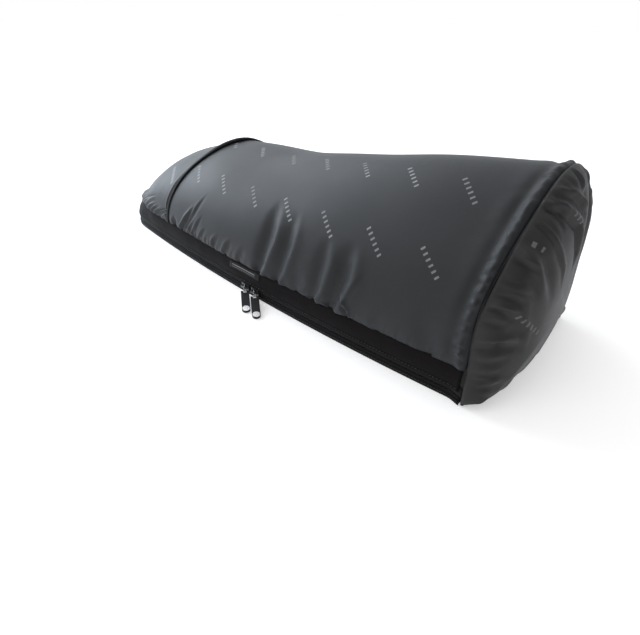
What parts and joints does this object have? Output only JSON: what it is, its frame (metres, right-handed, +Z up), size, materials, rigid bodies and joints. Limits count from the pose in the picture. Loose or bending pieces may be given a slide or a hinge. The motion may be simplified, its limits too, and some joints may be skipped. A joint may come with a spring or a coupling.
{
  "type": "trumpet sleeve bag",
  "caption": "Soft padded zip sleeve for a trumpet: tapered domed bag on a flat base, with a slip pocket, a domed end cap and a U-shaped zip.",
  "frame": {"origin": "on the underside of the flat base panel, on the centre line, halfway between the nose tip and the end cap's seam", "axes": "+X along the bag towards the domed end cap, +Y away from the zip front that carries the sliders, +Z up from the flat base"},
  "size_m": [0.6053, 0.2494, 0.1756],
  "materials": {
    "satin_nylon": "black satin-weave nylon with a cool sheen",
    "strip_webbing": "matt black woven strip",
    "binding_tape": "matt black folded binding",
    "zip_nylon": "matt black zip tape and coil",
    "lining_cloth": "plain black lining",
    "padding_foam": "grey padding, felt-like",
    "label_weave": "black woven label with plain pale lines",
    "slider_metal": "satin black enamel",
    "bright_metal": "bright nickel",
    "pull_rubber": "moulded matt black"
  },
  "bodies": {
    "base": {"base_shell": "satin_nylon", "base_foam": "padding_foam", "base_lining": "lining_cloth", "base_binding": "strip_webbing", "base_zip_tape": "zip_nylon", "base_zip_coil": "zip_nylon", "hinge_seam": "binding_tape", "zip_end_stops": "slider_metal"},
    "lid": {"top_panel": "satin_nylon", "pocket_binding": "binding_tape", "pocket_back": "satin_nylon", "lid_foam": "padding_foam", "lid_lining": "lining_cloth", "lid_strip": "strip_webbing", "lid_zip_tape": "zip_nylon", "lid_zip_coil": "zip_nylon", "side_label": "label_weave", "cap_shell": "satin_nylon", "cap_foam": "padding_foam", "cap_lining": "lining_cloth", "cap_seam_roll": "satin_nylon"},
    "slider_nose_side": {"slider_nose_side": "slider_metal"},
    "slider_bell_side": {"slider_bell_side": "slider_metal"},
    "link_nose_side": {"pull_link_nose_side": "bright_metal"},
    "link_bell_side": {"pull_link_bell_side": "bright_metal"},
    "tab_nose_side": {"pull_tab_nose_side": "pull_rubber", "pull_disc_nose_side": "bright_metal"},
    "tab_bell_side": {"pull_tab_bell_side": "pull_rubber", "pull_disc_bell_side": "bright_metal"}
  },
  "joints": [
    {"name": "lid_open", "type": "hinge", "parent": "base", "child": "lid", "pos_m": [0.2885, 0, 0.002], "axis": [0, 1, 0], "range_deg": [0, 45]},
    {"name": "slider_nose_side_travel", "type": "hinge", "parent": "base", "child": "slider_nose_side", "pos_m": [0.0315, 2.59, 0], "axis": [0, 0, -1], "range_deg": [0, 4.9]},
    {"name": "slider_bell_side_travel", "type": "hinge", "parent": "base", "child": "slider_bell_side", "pos_m": [0.0315, 2.59, 0], "axis": [0, 0, 1], "range_deg": [0, 4.95]},
    {"name": "link_nose_side_swing", "type": "hinge", "parent": "slider_nose_side", "child": "link_nose_side", "pos_m": [0.01899, -0.11177, 0.008], "axis": [0, 0, -1], "range_deg": [0, 108]},
    {"name": "link_bell_side_swing", "type": "hinge", "parent": "slider_bell_side", "child": "link_bell_side", "pos_m": [0.0355, -0.1118, 0.008], "axis": [0, 0, 1], "range_deg": [0, 14]},
    {"name": "tab_nose_side_lift", "type": "hinge", "parent": "link_nose_side", "child": "tab_nose_side", "pos_m": [0.02947, -0.11946, 0.008], "axis": [-0.5915, -0.8063, 0], "range_deg": [0, 100]},
    {"name": "tab_bell_side_lift", "type": "hinge", "parent": "link_bell_side", "child": "tab_bell_side", "pos_m": [0.04603, -0.11942, 0.008], "axis": [-0.5866, -0.8099, 0], "range_deg": [0, 100]}
  ]
}
